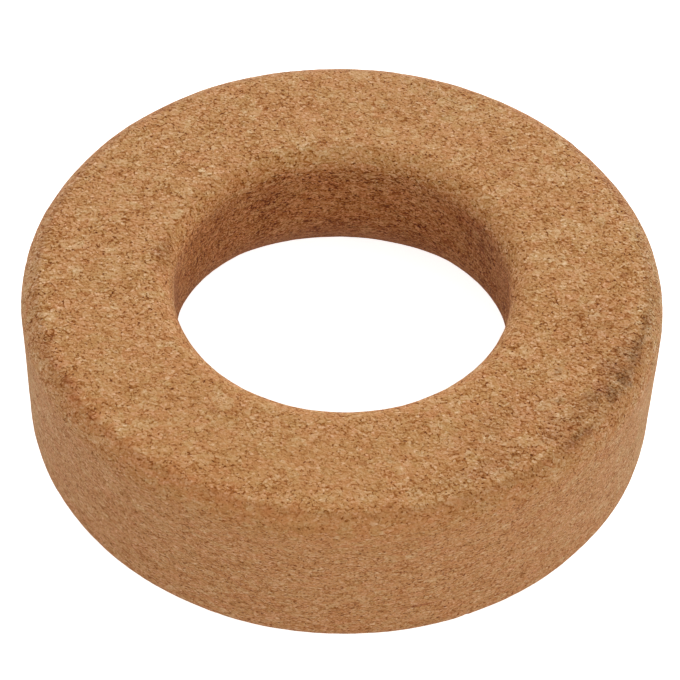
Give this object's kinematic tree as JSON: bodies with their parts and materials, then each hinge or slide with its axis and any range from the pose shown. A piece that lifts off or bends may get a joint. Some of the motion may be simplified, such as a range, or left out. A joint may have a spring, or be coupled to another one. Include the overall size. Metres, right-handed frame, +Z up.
{
  "type": "cork ring",
  "caption": "Thick cork ring with a central hole, rounded edges and a sloped seat underneath; a bench support for round-bottomed flasks.",
  "frame": {"origin": "centre of the ring's underside, on the axis of the hole, on the surface that the ring rests on", "axes": "+Z up along the axis of the hole; X and Y are equal, because the ring is round"},
  "size_m": [0.11, 0.11, 0.03],
  "materials": {
    "cork": "matte"
  },
  "bodies": {
    "root": {"cork_ring": "cork"}
  },
  "joints": []
}
